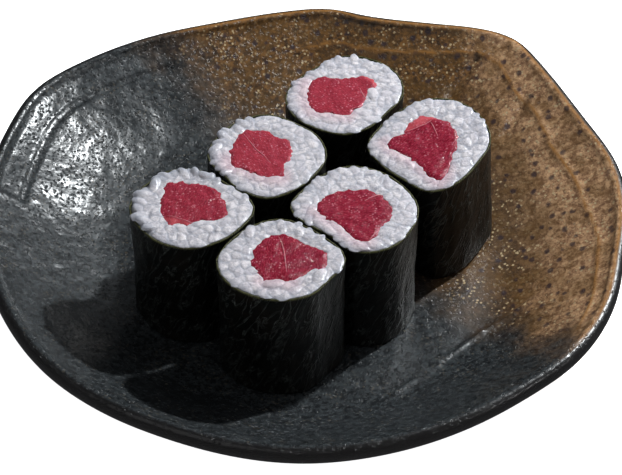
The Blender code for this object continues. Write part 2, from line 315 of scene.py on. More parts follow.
# Pale specks where ash fell in the glaze, about 0.6 mm across, in drifts and mostly on the brown.
bent = add_node(glaze, "ShaderNodeVectorMath", {0: fine_colour, 1: (0.8 * MM,) * 3, 2: place},
                operation="MULTIPLY_ADD").outputs["Vector"]
cells = add_node(glaze, "ShaderNodeTexVoronoi", {"Vector": bent, "Scale": 1 / (1.15 * MM)})
speck = add_node(glaze, "ShaderNodeMapRange", {"Value": cells.outputs["Distance"], "From Min": 0.32,
                                               "From Max": 0.22}).outputs["Result"]
chosen = add_node(glaze, "ShaderNodeMapRange", {"Value": cluster, "From Min": 0.47, "From Max": 0.6}
                  ).outputs["Result"]
chosen = add_node(glaze, "ShaderNodeMath", {0: brown_side, 1: 0.2, 2: chosen}, operation="MULTIPLY_ADD",
                  use_clamp=True).outputs["Value"]
speck_share = add_node(glaze, "ShaderNodeMapRange", {"Value": brown_side, "From Min": 0.3,
                                                     "To Min": 0.08}).outputs["Result"]
speck = add_node(glaze, "ShaderNodeMath", {0: speck, 1: chosen}, operation="MULTIPLY").outputs["Value"]
speck = add_node(glaze, "ShaderNodeMath", {0: speck, 1: speck_share}, operation="MULTIPLY"
                 ).outputs["Value"]
ground = add_node(glaze, "ShaderNodeMix", {0: speck, 6: ground, 7: linear("#b8a17c")},
                  data_type="RGBA").outputs[2]

# Ragged dark iron spots in the brown, about 1.5 mm across.
ragged = add_node(glaze, "ShaderNodeVectorMath", {0: fine_colour, 1: (1.6 * MM,) * 3, 2: place},
                  operation="MULTIPLY_ADD").outputs["Vector"]
iron_cells = add_node(glaze, "ShaderNodeTexVoronoi", {"Vector": ragged, "Scale": 1 / (3.4 * MM)})
iron = add_node(glaze, "ShaderNodeMapRange", {"Value": iron_cells.outputs["Distance"], "From Min": 0.29,
                                              "From Max": 0.17}).outputs["Result"]
iron = add_node(glaze, "ShaderNodeMath", {0: iron, 1: brown_side}, operation="MULTIPLY").outputs["Value"]
iron = add_node(glaze, "ShaderNodeMath", {0: iron, 1: 0.75}, operation="MULTIPLY").outputs["Value"]
ground = add_node(glaze, "ShaderNodeMix", {0: iron, 6: ground, 7: linear("#261d29")},
                  data_type="RGBA").outputs[2]

# The glaze ran off the crest and the ridge, which show orange. The outside of the lip is painted
# near-black, a painted shade for the side that faces down, away from the lamps.
ridge_value = add_node(glaze, "ShaderNodeAttribute", attribute_name="ridge").outputs["Fac"]
crest_line = add_node(glaze, "ShaderNodeMapRange", {"Value": inset_value, "From Min": 0.8,
                                                    "From Max": 0.0}).outputs["Result"]
ridge_line = add_node(glaze, "ShaderNodeMath", {0: ridge_value, 1: 2.0}, operation="POWER"
                      ).outputs["Value"]
thin = add_node(glaze, "ShaderNodeMath", {0: crest_line, 1: ridge_line}, operation="MAXIMUM"
                ).outputs["Value"]
thin = add_node(glaze, "ShaderNodeMath", {0: thin, 1: brown_side}, operation="MULTIPLY").outputs["Value"]
thin = add_node(glaze, "ShaderNodeMath", {0: thin, 1: 0.85}, operation="MULTIPLY").outputs["Value"]
ground = add_node(glaze, "ShaderNodeMix", {0: thin, 6: ground, 7: linear("#9c6a30")},
                  data_type="RGBA").outputs[2]
# Painted shade: the outside of the lip is drawn near-black.
painted_lip_shade = add_node(glaze, "ShaderNodeMapRange", {"Value": inset_value, "From Min": 0.2,
                                                   "From Max": -0.6}).outputs["Result"]
ground = add_node(glaze, "ShaderNodeMix", {0: painted_lip_shade, 6: ground, 7: linear("#151313")},
                  data_type="RGBA").outputs[2]

# The skin: pits about 1 mm apart on swells of 2 mm, deeper in the slate glaze.
pit_cells = add_node(glaze, "ShaderNodeTexVoronoi", {"Vector": ragged, "Scale": 1 / (1.05 * MM)}
                     ).outputs["Distance"]
pits = add_node(glaze, "ShaderNodeMapRange", {"Value": pit_cells, "From Min": 0.06, "From Max": 0.42},
                interpolation_type="SMOOTHSTEP").outputs["Result"]
swell = add_node(glaze, "ShaderNodeTexNoise", {"Vector": place, "Scale": 1 / (2.0 * MM), "Detail": 2.0}
                 ).outputs["Fac"]
peel = add_node(glaze, "ShaderNodeMath", {0: swell, 1: 1.3, 2: pits}, operation="MULTIPLY_ADD"
                ).outputs["Value"]
peel = add_node(glaze, "ShaderNodeMath", {0: fine, 1: 0.22, 2: peel}, operation="MULTIPLY_ADD"
                ).outputs["Value"]
peel_depth = add_node(glaze, "ShaderNodeMapRange", {"Value": brown_side, "To Min": 0.75, "To Max": 0.4}
                      ).outputs["Result"]
skin = add_node(glaze, "ShaderNodeBump", {"Height": peel, "Strength": peel_depth, "Distance": 0.19 * MM}
                ).outputs["Normal"]
gloss = add_node(glaze, "ShaderNodeMapRange", {"Value": brown_side, "To Min": 0.27, "To Max": 0.36}
                 ).outputs["Result"]
add_node(glaze, glaze_shader, {"Base Color": ground, "Roughness": gloss, "Normal": skin, "IOR": 1.52})
dish.data.materials.append(glaze)
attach(dish, "root")
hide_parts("dish")


# ---- Nori
# Each roll is wrapped in one sheet of roasted seaweed, about 0.3 mm thick, pressed on by the
# mat. It takes up the shape of the grains behind it and crinkles, and it is cut straight
# through.

ROLL_COUNT = 6
NORI_THICKNESS = 0.3
NORI_COLUMNS = 180
NORI_ROWS = 58
NORI_ROUND = 14.0               # about the radius of a roll
NORI_SLACK = 0.08               # the crinkled sheet lies so far inside its true outline
GRAIN_BEHIND = 2.8              # width of the bumps that the grains behind it make
CRINKLE = 1.1                   # and of its own crinkles
CUT_BAND = 0.3                  # the light comes through it so far below the cut
EDGE_CLEARANCE = 0.3            # its outline is read so far below the cut
TUNA_LEVEL = 2.0                # and the fish's outline so far below


def write_uv(mesh, name, places):
    """A UV map from one flat place for each vertex."""
    corners = np.empty(len(mesh.loops), int)
    mesh.loops.foreach_get("vertex_index", corners)
    mesh.uv_layers.new(name=name).data.foreach_set("uv", places[corners].ravel())


class RollShape:
    """A roll's own frame, in mm, with its origin in the middle of the cut, read off its solids."""

    def __init__(self, number):
        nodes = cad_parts
        rim = [face for face in nodes[f"nori_{number}"].data.polygons if face.normal.z > 0.9]
        up = sum((face.normal * face.area for face in rim), Vector()).normalized()
        weight = sum(face.area for face in rim)
        middle = sum((face.center * face.area for face in rim), Vector()) / weight
        turn = Vector((0, 0, 1)).rotation_difference(up).to_matrix().to_4x4()
        self.stand = Matrix.Translation(middle) @ turn @ Matrix.Scale(MM, 4)
        self.trees = {}
        for layer in ("nori", "tuna"):
            mesh = nodes[f"{layer}_{number}"].data
            corners = [self.stand.inverted() @ vertex.co for vertex in mesh.vertices]
            faces = [face.vertices[:] for face in mesh.polygons]
            self.trees[layer] = BVHTree.FromPolygons(corners, faces)
            if layer == "nori":
                self.height = -min(corner.z for corner in corners)
        self.turns = np.linspace(-180, 180, NORI_COLUMNS, endpoint=False)
        self.nori_edge = [self.reach("nori", turn, -EDGE_CLEARANCE) for turn in self.turns]
        self.tuna_edge = [self.reach("tuna", turn, -TUNA_LEVEL) for turn in self.turns]

    def reach(self, layer, degrees, height):
        """How far a layer's outside is from the middle, in one direction and at one height."""
        outward = Vector((math.cos(math.radians(degrees)), math.sin(math.radians(degrees)), 0))
        hit = self.trees[layer].ray_cast(outward * 40 + Vector((0, 0, height)), -outward)[0]
        return hit.to_2d().length if hit else 0.0

    def edges_at(self, points):
        """Direction, distance from the middle, and the reach of fish and nori there."""
        degrees = np.degrees(np.arctan2(points[:, 1], points[:, 0]))
        reach = np.linalg.norm(points[:, :2], axis=1)
        fish = np.interp(degrees, self.turns, self.tuna_edge, period=360)
        nori = np.interp(degrees, self.turns, self.nori_edge, period=360)
        return degrees, reach, fish, nori


rolls = {number: RollShape(number) for number in range(1, ROLL_COUNT + 1)}

# Roasted seaweed pressed into a sheet: nearly black, a papery skin with a faint gloss on its
# crinkles, grey strands painted along the wrinkles as a painted highlight of that gloss, and olive
# where light comes through its cut edge.
# The wrinkles run slanted round the roll, about 2.4 mm apart. Real fibres are finer than 0.1 mm, and
# they are drawn at 0.9 mm to show.
nori, nori_shader = new_material("roasted_seaweed")
place = add_node(nori, "ShaderNodeTexCoord").outputs["Object"]
fibre = add_node(nori, "ShaderNodeTexNoise", {"Vector": place, "Scale": 1 / (0.9 * MM), "Detail": 5.0,
                                              "Roughness": 0.7, "Distortion": 0.6}).outputs["Fac"]
wrapped = add_node(nori, "ShaderNodeUVMap", uv_map="sheet").outputs["UV"]
slanted = add_node(nori, "ShaderNodeMapping", {"Vector": wrapped, "Scale": (2.4, 9.0, 1.0),
                                               "Rotation": (0.0, 0.0, math.radians(-26))},
                   vector_type="TEXTURE").outputs["Vector"]
wrinkle = add_node(nori, "ShaderNodeTexNoise", {"Vector": slanted, "Scale": 1.0, "Detail": 3.0,
                                                "Roughness": 0.5, "Distortion": 0.8}).outputs["Fac"]
wrinkle = add_node(nori, "ShaderNodeMath", {0: wrinkle, 1: 0.5}, operation="SUBTRACT").outputs["Value"]
wrinkle = add_node(nori, "ShaderNodeMath", {0: wrinkle}, operation="ABSOLUTE").outputs["Value"]
wrinkle = add_node(nori, "ShaderNodeMapRange", {"Value": wrinkle, "From Min": 0.0, "From Max": 0.05,
                                                "To Min": 1.0, "To Max": 0.0}).outputs["Result"]
crinkled = add_node(nori, "ShaderNodeMath", {0: fibre, 1: 0.3, 2: wrinkle}, operation="MULTIPLY_ADD"
                    ).outputs["Value"]
patch = add_node(nori, "ShaderNodeTexNoise", {"Vector": place, "Scale": 1 / (5 * MM), "Detail": 3.0}
                 ).outputs["Fac"]
patch = add_node(nori, "ShaderNodeMapRange", {"Value": patch, "From Min": 0.4, "From Max": 0.65}
                 ).outputs["Result"]
seaweed = add_node(nori, "ShaderNodeMix", {0: patch, 6: linear("#050605"), 7: linear("#0f0b07")},
                   data_type="RGBA").outputs[2]
# Painted highlight: grey strands along the wrinkles stand for the gloss that catches light on them.
painted_streaks = add_node(nori, "ShaderNodeMapRange", {"Value": fibre, "From Min": 0.42, "From Max": 0.62,
                                             "To Max": 0.5}).outputs["Result"]
painted_streaks = add_node(nori, "ShaderNodeMath", {0: painted_streaks, 1: wrinkle}, operation="MULTIPLY").outputs["Value"]
seaweed = add_node(nori, "ShaderNodeMix", {0: painted_streaks, 6: seaweed, 7: linear("#5c625e")},
                   data_type="RGBA").outputs[2]
cut = add_node(nori, "ShaderNodeAttribute", attribute_name="cut").outputs["Fac"]
seaweed = add_node(nori, "ShaderNodeMix", {0: cut, 6: seaweed, 7: linear("#4a4a2c")},
                   data_type="RGBA").outputs[2]
paper = add_node(nori, "ShaderNodeBump", {"Height": crinkled, "Strength": 1.0, "Distance": 0.3 * MM}
                 ).outputs["Normal"]
nori_gloss = add_node(nori, "ShaderNodeMapRange", {"Value": fibre, "From Min": 0.35, "From Max": 0.65,
                                                   "To Min": 0.3, "To Max": 0.5}).outputs["Result"]
add_node(nori, nori_shader, {"Base Color": seaweed, "Roughness": nori_gloss, "Normal": paper, "IOR": 1.34})

bpy.context.tool_settings.mesh_select_mode = (True, False, False)
for number, roll in rolls.items():
    bpy.ops.mesh.primitive_circle_add(vertices=NORI_COLUMNS, radius=NORI_ROUND, location=(0, 0, 0))
    sheet = bpy.context.active_object
    sheet.name = f"nori_sheet_{number}"
    bpy.ops.object.mode_set(mode="EDIT")
    for row in range(NORI_ROWS):
        bpy.ops.mesh.extrude_region_move(
            TRANSFORM_OT_translate={"value": (0, 0, -roll.height / NORI_ROWS)})
    bpy.ops.mesh.select_all(action="SELECT")
    bpy.ops.mesh.normals_make_consistent(inside=False)
    bpy.ops.object.mode_set(mode="OBJECT")
    points = read_vectors(sheet.data.vertices)
    crumple = 0.22 * wander(points * (1, 1, 0.45), GRAIN_BEHIND, number)
    crumple += 0.08 * wander(points, CRINKLE, number)
    crumple *= np.clip(-points[:, 2] / 3, 0.3, 1)               # the cut end is held by the rice
    for index, (x, y, z) in enumerate(points):
        angle = math.atan2(y, x)
        level = min(max(z, EDGE_CLEARANCE - roll.height), -EDGE_CLEARANCE)
        reach = roll.reach("nori", math.degrees(angle), level) - NORI_SLACK + crumple[index]
        points[index, :2] = (reach * math.cos(angle), reach * math.sin(angle))
    write_points(sheet.data, points)
    apply_modifier(sheet, "SOLIDIFY", thickness=NORI_THICKNESS, offset=-1.0)
    points = read_vectors(sheet.data.vertices)
    write_attribute(sheet.data, "cut", np.clip(1 + points[:, 2] / CUT_BAND, 0, 1))
    round_it = np.arctan2(points[:, 1], points[:, 0]) * NORI_ROUND
    write_uv(sheet.data, "sheet", np.stack([round_it, points[:, 2]], axis=1))
    sheet.data.transform(roll.stand)
    sheet.data.shade_smooth()
    sheet.data.materials.append(nori)
    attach(sheet, "root")
    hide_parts(f"nori_{number}")


# ---- Tuna
# A strip of raw tuna down the middle of each roll, cut through with it. The cut shows fine
# pale fibres all running one way, a few white sinews, and flaps that took less colour.

TUNA_VOXEL = 0.38
TOOTH = 1.2                     # size of the teeth in the torn edge of the fish
SINEW_RADIUS = 0.12
# For each roll: the direction of the fibres in degrees, and the sinews through their points.
FIBRES = {1: 70, 2: 80, 3: -55, 4: 10, 5: -40, 6: 40}
BLEACHED = {1: 0.1, 2: 0.0, 3: 0.25, 4: 0.0, 5: 0.2, 6: 0.0}     # how far the red is bleached
SINEWS = {
    1: (((-5.4, -2.3), (-2.8, -3.2), (-0.2, -4.4), (1.2, -4.7)),),
    2: (((-0.7, 7.5), (0.1, 5.3), (0.7, 2.2), (1.0, -1.1), (1.3, -4.1)),),
    3: (((-6.5, 7.5), (-2.9, 1.3), (-1.5, -0.2), (0.6, -3.5)),),
    4: (((1.5, 2.2), (3.3, 3.5), (5.3, 4.6)), ((2.6, -10.0), (4.0, -8.2), (5.5, -6.3))),
    5: (((3.5, 1.6), (4.0, -0.4), (5.1, -2.7), (6.8, -4.6)),),
    6: (((-6.7, 3.6), (-3.8, 4.6), (-1.5, 5.8), (0.0, 6.9)), ((-0.4, 6.4), (0.2, 5.0), (1.2, 1.4))),
}
# Flaps of paler flesh: a point on the fold, and the direction that leads into the flap.
FLAPS = {1: ((-2.0, -3.6), 255), 5: ((6.0, 3.2), 40), 6: ((-3.8, 4.6), 118)}

# Raw red tuna: dark red muscle with paler fibres along the strip's grain, wet and a little
# translucent, so light shows pink through it. Its fibres are 0.3 mm wide, and pale pink flecks 0.75 mm
# apart are a painted highlight for the glints of its wet cut; both are coarser than real ones so that they
# show.
tuna, tuna_shader = new_material("raw_tuna")
fibres = add_node(tuna, "ShaderNodeUVMap", uv_map="fibres").outputs["UV"]
stretched = add_node(tuna, "ShaderNodeMapping", {"Vector": fibres, "Scale": (1 / 1.0, 1 / 0.3, 1.0)}
                     ).outputs["Vector"]
strand = add_node(tuna, "ShaderNodeTexNoise", {"Vector": stretched, "Scale": 1.0, "Detail": 4.0,
                                               "Roughness": 0.65, "Distortion": 0.3}).outputs["Fac"]
strand_share = add_node(tuna, "ShaderNodeMapRange", {"Value": strand, "From Min": 0.4, "From Max": 0.72}
                        ).outputs["Result"]
flesh = add_node(tuna, "ShaderNodeMix", {0: strand_share, 6: linear("#760820"), 7: linear("#ad394f")},
                 data_type="RGBA").outputs[2]
pale = add_node(tuna, "ShaderNodeAttribute", attribute_name="pale").outputs["Fac"]
flesh = add_node(tuna, "ShaderNodeMix", {0: pale, 6: flesh, 7: linear("#c4545c")},
                 data_type="RGBA").outputs[2]
place = add_node(tuna, "ShaderNodeTexCoord").outputs["Object"]
# Painted highlight: clusters of pale pink flecks stand for the wet glints on the cut.
glint_cells = add_node(tuna, "ShaderNodeTexVoronoi", {"Vector": place, "Scale": 1 / (0.75 * MM)}
                     ).outputs["Distance"]
painted_glints = add_node(tuna, "ShaderNodeMapRange", {"Value": glint_cells, "From Min": 0.36, "From Max": 0.12}
               ).outputs["Result"]
glint_clusters = add_node(tuna, "ShaderNodeTexNoise", {"Vector": place, "Scale": 1 / (2.5 * MM), "Detail": 3.0}
                    ).outputs["Fac"]
glint_clusters = add_node(tuna, "ShaderNodeMapRange", {"Value": glint_clusters, "From Min": 0.42, "From Max": 0.6,
                                                 "To Min": 0.1, "To Max": 0.6}).outputs["Result"]
painted_glints = add_node(tuna, "ShaderNodeMath", {0: painted_glints, 1: glint_clusters}, operation="MULTIPLY").outputs["Value"]
flesh = add_node(tuna, "ShaderNodeMix", {0: painted_glints, 6: flesh, 7: linear("#e09aa8")},
                 data_type="RGBA").outputs[2]
wet = add_node(tuna, "ShaderNodeTexNoise", {"Vector": place, "Scale": 1 / (0.5 * MM), "Detail": 3.0}
               ).outputs["Fac"]
wet = add_node(tuna, "ShaderNodeMath", {0: wet, 1: strand}, operation="ADD").outputs["Value"]
cut_face = add_node(tuna, "ShaderNodeBump", {"Height": wet, "Strength": 0.6, "Distance": 0.18 * MM}
                    ).outputs["Normal"]
add_node(tuna, tuna_shader, {"Base Color": flesh, "Roughness": 0.15, "Normal": cut_face, "IOR": 1.36,
                             "Subsurface Weight": 0.25, "Subsurface Radius": (1.0, 0.25, 0.2),
                             "Subsurface Scale": 0.8 * MM})

# Sinew: pale, tough and shiny, with some of the red of the flesh under it.
sinew_material, sinew_shader = new_material("sinew")
add_node(sinew_material, sinew_shader, {"Base Color": linear("#cf7c86"), "Roughness": 0.3, "IOR": 1.4,
                                        "Subsurface Weight": 0.3, "Subsurface Scale": 0.8 * MM,
                                        "Subsurface Radius": (1.0, 0.4, 0.3)})

for number, roll in rolls.items():
    strip = copy_node(f"tuna_strip_{number}", f"tuna_{number}")
    strip.data.transform(roll.stand.inverted())
    apply_modifier(strip, "REMESH", mode="VOXEL", voxel_size=TUNA_VOXEL)
    apply_modifier(strip, "SMOOTH", factor=0.5, iterations=2)
    points = read_vectors(strip.data.vertices)
    degrees, reach, fish_edge, nori_edge = roll.edges_at(points)

    # The knife tore the edge of the fish into teeth, and left the cut a little uneven.
    near_cut = np.clip(1 + (points[:, 2] - 0.2) / 4, 0, 1)
    near_edge = near_cut * np.clip(1 - (fish_edge - reach) / 1.5, 0, 1)
    teeth = 0.3 + 1.7 * wander(points * (1, 1, 0.3), TOOTH, number)
    points[:, :2] *= 1 + (teeth * near_edge / np.maximum(reach, 1))[:, None]
    points[:, 2] += 0.25 * wander(points, 2.2, number + 10) * (points[:, 2] > -1)

    # What the material reads: places along and across the fibres, and how pale the flesh is.
    fibre_turn = math.radians(FIBRES[number])
    along = points[:, 0] * math.cos(fibre_turn) + points[:, 1] * math.sin(fibre_turn)
    across = points[:, 1] * math.cos(fibre_turn) - points[:, 0] * math.sin(fibre_turn)
    pale = BLEACHED[number] + 0.35 * np.clip(1 - (fish_edge - reach) / 0.9, 0, 1)
    if number in FLAPS:
        (edge_x, edge_y), into = FLAPS[number]
        depth = ((points[:, 0] - edge_x) * math.cos(math.radians(into))
                 + (points[:, 1] - edge_y) * math.sin(math.radians(into)))
        pale = np.maximum(pale, np.clip(depth / 0.6, 0, 1) * 0.8)
    write_points(strip.data, points)
    write_attribute(strip.data, "pale", pale)
    write_uv(strip.data, "fibres", np.stack([along, across], axis=1))

    # Sinews: round threads that lie on the cut and taper to both ends.
    surface = BVHTree.FromPolygons([Vector(point) for point in points],
                                   [face.vertices[:] for face in strip.data.polygons])
    sinews = bpy.data.curves.new(f"sinews_{number}", "CURVE")
    sinews.dimensions = "3D"
    sinews.bevel_depth = SINEW_RADIUS
    sinews.bevel_resolution = 2
    sinews.use_fill_caps = True
    for route in SINEWS[number]:
        spline = sinews.splines.new("POLY")
        steps = np.linspace(0, len(route) - 1, 8 * len(route))
        places = np.stack([np.interp(steps, range(len(route)), [stop[axis] for stop in route])
                           for axis in (0, 1)], axis=1)
        spline.points.add(len(places) - 1)
        for index, (x, y) in enumerate(places):
            hit = surface.ray_cast(Vector((x, y, 10)), Vector((0, 0, -1)))[0]
            spline.points[index].co = (x, y, hit.z if hit else 0.0, 1.0)
            share = index / (len(places) - 1)
            spline.points[index].radius = max(0.25, math.sin(math.pi * share) ** 0.5)
    threads = bpy.data.objects.new(f"tuna_sinews_{number}", sinews)
    bpy.context.collection.objects.link(threads)
    solo(threads)
    bpy.ops.object.convert(target="MESH")
    threads = bpy.context.active_object

    for piece, finish in ((strip, tuna), (threads, sinew_material)):
        piece.data.transform(roll.stand)
        piece.data.shade_smooth()
        piece.data.materials.clear()
        piece.data.materials.append(finish)
        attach(piece, "root")
    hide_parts(f"tuna_{number}")


# ---- Rice
# Cooked short-grain rice, pressed round the fish by the mat, so its grains stick together and
# only their outlines show on the cut. Towards the back of each roll whole grains stand over
# the edge of the nori, and here and there one lies over the fish.

GRAIN_SIZE = (5.4, 2.8, 2.3)
GRAIN_SPACING = 1.9
GRAIN_TRIES = 5000
GRAIN_REACH = 15.5              # grains are tried out to here from the middle of a roll
GRAIN_LEVEL = (-1.0, -0.6)      # their middles lie between these heights
GRAIN_FROM_NORI = 1.5           # no middle lies closer to the nori than this
ROW_AT_NORI = 2.6               # grains with their middles this close to the nori lie along it,
ROW_AT_FISH = 2.2               # and so do those this close to the fish
RICE_VOXEL = 0.3
CORE_DROP = 0.45                # the solid core ends so far below the cut
CORE_SPREAD = 0.25              # and reaches so much closer to the nori
UNDER_FISH = 1.2                # and so far in under the ragged edge of the fish
CROWN = 0.4                     # the knife pressed the grains flat at about this height
PRESSED = 0.3                   # share of their roundness that is left
PRESSED_DOWN_TO = -1.6          # what lies lower than this kept its shape
CREASE_WIDTH = 0.16             # as a share of a grain's size
CREASE_DEPTH = 0.11
SLAB_DEPTH = 4.0                # the grains are fused to a slab of this depth
TOP_CLEARANCE = 0.02            # under the top of the solid rolls
# For each roll, the directions in degrees between which whole grains stand over the nori, and how
# far they do, as a share of a loose grain's own height.
PROUD = {1: (60, 215, 0.75), 2: (30, 160, 0.2), 3: (112, 218, 0.6), 4: (50, 200, 0.25),
         5: (50, 215, 0.3), 6: (20, 190, 0.1)}
# Grains that lie over the fish: x, y and direction.
OVER_FISH = {2: ((-1.7, -7.6, 10), (8.6, -5.0, 60)), 4: ((1.0, -12.6, 0), (3.0, -12.0, 20)),
             5: ((6.6, -0.6, 100),)}
# Where the fish stained the rice: the middle direction and the spread, in degrees.
STAINS = {2: (262, 30), 3: (245, 55), 4: (235, 45), 5: (220, 60), 6: (235, 55)}

# Cooked rice: starchy white, milky and wet, so grains are greyer and clearer where they stand
# alone at the edge, and pink where the fish stained them. The creases between grains are darkened
# to blue-grey with painted shade. The grit of 0.55 mm stands for starch on the grains, and is drawn
# that coarse to show.
rice, rice_shader = new_material("cooked_rice")
place = add_node(rice, "ShaderNodeTexCoord").outputs["Object"]
outer = add_node(rice, "ShaderNodeAttribute", attribute_name="outer").outputs["Fac"]
stain = add_node(rice, "ShaderNodeAttribute", attribute_name="stain").outputs["Fac"]
cloud = add_node(rice, "ShaderNodeTexNoise", {"Vector": place, "Scale": 1 / (1.6 * MM), "Detail": 5.0,
                                              "Roughness": 0.65}).outputs["Fac"]
cloud = add_node(rice, "ShaderNodeMapRange", {"Value": cloud, "From Min": 0.4, "From Max": 0.6}
                 ).outputs["Result"]
starch = add_node(rice, "ShaderNodeMix", {0: cloud, 6: linear("#b0adb4"), 7: linear("#e8e1e3")},
                  data_type="RGBA").outputs[2]
tone = add_node(rice, "ShaderNodeAttribute", attribute_name="tone").outputs["Fac"]
tone = add_node(rice, "ShaderNodeMath", {0: tone, 1: 0.55}, operation="MULTIPLY").outputs["Value"]
starch = add_node(rice, "ShaderNodeMix", {0: tone, 6: starch, 7: linear("#c4bfc6")},
                  data_type="RGBA").outputs[2]
starch = add_node(rice, "ShaderNodeMix", {0: outer, 6: starch, 7: linear("#9b9ea8")},
                  data_type="RGBA").outputs[2]
# Painted shade: the creases between grains are darkened to blue-grey.
crease_and_shade = add_node(rice, "ShaderNodeAttribute", attribute_name="crease_and_shade").outputs["Fac"]
crease_and_shade = add_node(rice, "ShaderNodeMath", {0: crease_and_shade, 1: 0.65}, operation="MULTIPLY").outputs["Value"]
starch = add_node(rice, "ShaderNodeMix", {0: crease_and_shade, 6: starch, 7: linear("#969aa6")},
                  data_type="RGBA").outputs[2]
starch = add_node(rice, "ShaderNodeMix", {0: stain, 6: starch, 7: linear("#cf9aa3")},
                  data_type="RGBA").outputs[2]
grit = add_node(rice, "ShaderNodeTexNoise", {"Vector": place, "Scale": 1 / (0.55 * MM), "Detail": 4.0}
                ).outputs["Fac"]
rice_skin = add_node(rice, "ShaderNodeBump", {"Height": grit, "Strength": 0.6, "Distance": 0.22 * MM}
                     ).outputs["Normal"]
add_node(rice, rice_shader, {"Base Color": starch, "Roughness": 0.17, "Normal": rice_skin, "IOR": 1.4,
                             "Subsurface Weight": 0.25, "Subsurface Radius": (1.0, 0.95, 0.85),
                             "Subsurface Scale": 0.6 * MM})

bpy.ops.mesh.primitive_uv_sphere_add(segments=12, ring_count=8, radius=0.5, location=(0, 0, 0))
grain = bpy.context.active_object
grain.name = "rice_grain"
bpy.ops.object.mode_set(mode="EDIT")
bpy.ops.transform.resize(value=GRAIN_SIZE)
bpy.ops.object.mode_set(mode="OBJECT")
grain_points = read_vectors(grain.data.vertices)
grain_points[:, 2] -= 0.04 * grain_points[:, 0] ** 2          # a grain is slightly bent
write_points(grain.data, grain_points)


def lay_grain(x, y, z, yaw, pitch, size=1.0):
    """A copy of the grain, as an object of its own."""
    copy = bpy.data.objects.new("grain", grain.data.copy())
    copy.data.transform(Matrix.Translation((x, y, z)) @ Matrix.Rotation(yaw, 4, "Z")
                        @ Matrix.Rotation(pitch, 4, "Y") @ Matrix.Scale(size, 4))
    bpy.context.collection.objects.link(copy)
    return copy


def ellipsoid_depth(points, laid):
    """How deep points lie in each grain, as 0 at its middle and 1 on its skin; one column each."""
    columns = []
    for x, y, z, yaw in laid:
        offset = points - (x, y, z)
        length = offset[:, 0] * math.cos(yaw) + offset[:, 1] * math.sin(yaw)
        width = offset[:, 1] * math.cos(yaw) - offset[:, 0] * math.sin(yaw)
        columns.append(np.sqrt((2 * length / GRAIN_SIZE[0]) ** 2 + (2 * width / GRAIN_SIZE[1]) ** 2
                               + (2 * offset[:, 2] / GRAIN_SIZE[2]) ** 2))
    return np.stack(columns, axis=1)


def lay_grains(number, roll, dice):
    """All loose grains of a roll, and the x, y, z and yaw of each."""
    grains = []
    laid = []
    for attempt in range(GRAIN_TRIES):
        degrees = dice.uniform(-180, 180)
        reach = GRAIN_REACH * math.sqrt(dice.random())
        x, y = reach * math.cos(math.radians(degrees)), reach * math.sin(math.radians(degrees))
        fish_edge = np.interp(degrees, roll.turns, roll.tuna_edge, period=360)
        nori_edge = np.interp(degrees, roll.turns, roll.nori_edge, period=360)
        if reach > nori_edge - GRAIN_FROM_NORI or reach < fish_edge + dice.uniform(0.2, 1.1):
            continue
        if any(math.dist((x, y), spot[:2]) < GRAIN_SPACING for spot in laid):
            continue
        yaw = dice.uniform(0, math.pi)
        if reach > nori_edge - ROW_AT_NORI or reach < fish_edge + ROW_AT_FISH:
            yaw = math.radians(degrees + 90) + dice.uniform(-0.5, 0.5)
        z = dice.uniform(*GRAIN_LEVEL)
        grains.append(lay_grain(x, y, z, yaw, dice.uniform(-0.3, 0.3), dice.uniform(0.85, 1.1)))
        laid.append((x, y, z, yaw))

    # Grains that stand over the edge of the nori, one after the other round it.
    proud_from, proud_to, proudness = PROUD[number]
    degrees = proud_from
    while degrees < proud_to:
        nori_edge = np.interp((degrees + 180) % 360 - 180, roll.turns, roll.nori_edge, period=360)
        reach = nori_edge - dice.uniform(1.1, 2.0) - 0.6 * (1 - proudness)
        turned = math.radians(degrees)
        x, y = reach * math.cos(turned), reach * math.sin(turned)
        z = dice.uniform(-1.3, -0.3) + 0.9 * proudness
        yaw = turned + dice.gauss(0, 0.7)
        grains.append(lay_grain(x, y, z, yaw, dice.uniform(-0.5, 0.4), dice.uniform(0.7, 0.95)))
        laid.append((x, y, z, yaw))
        degrees += dice.uniform(6.0, 13.0)
    for x, y, direction in OVER_FISH.get(number, ()):
        grains.append(lay_grain(x, y, 0.1, math.radians(direction), 0.0, 0.95))
        laid.append((x, y, 0.1, math.radians(direction)))
    return grains, laid


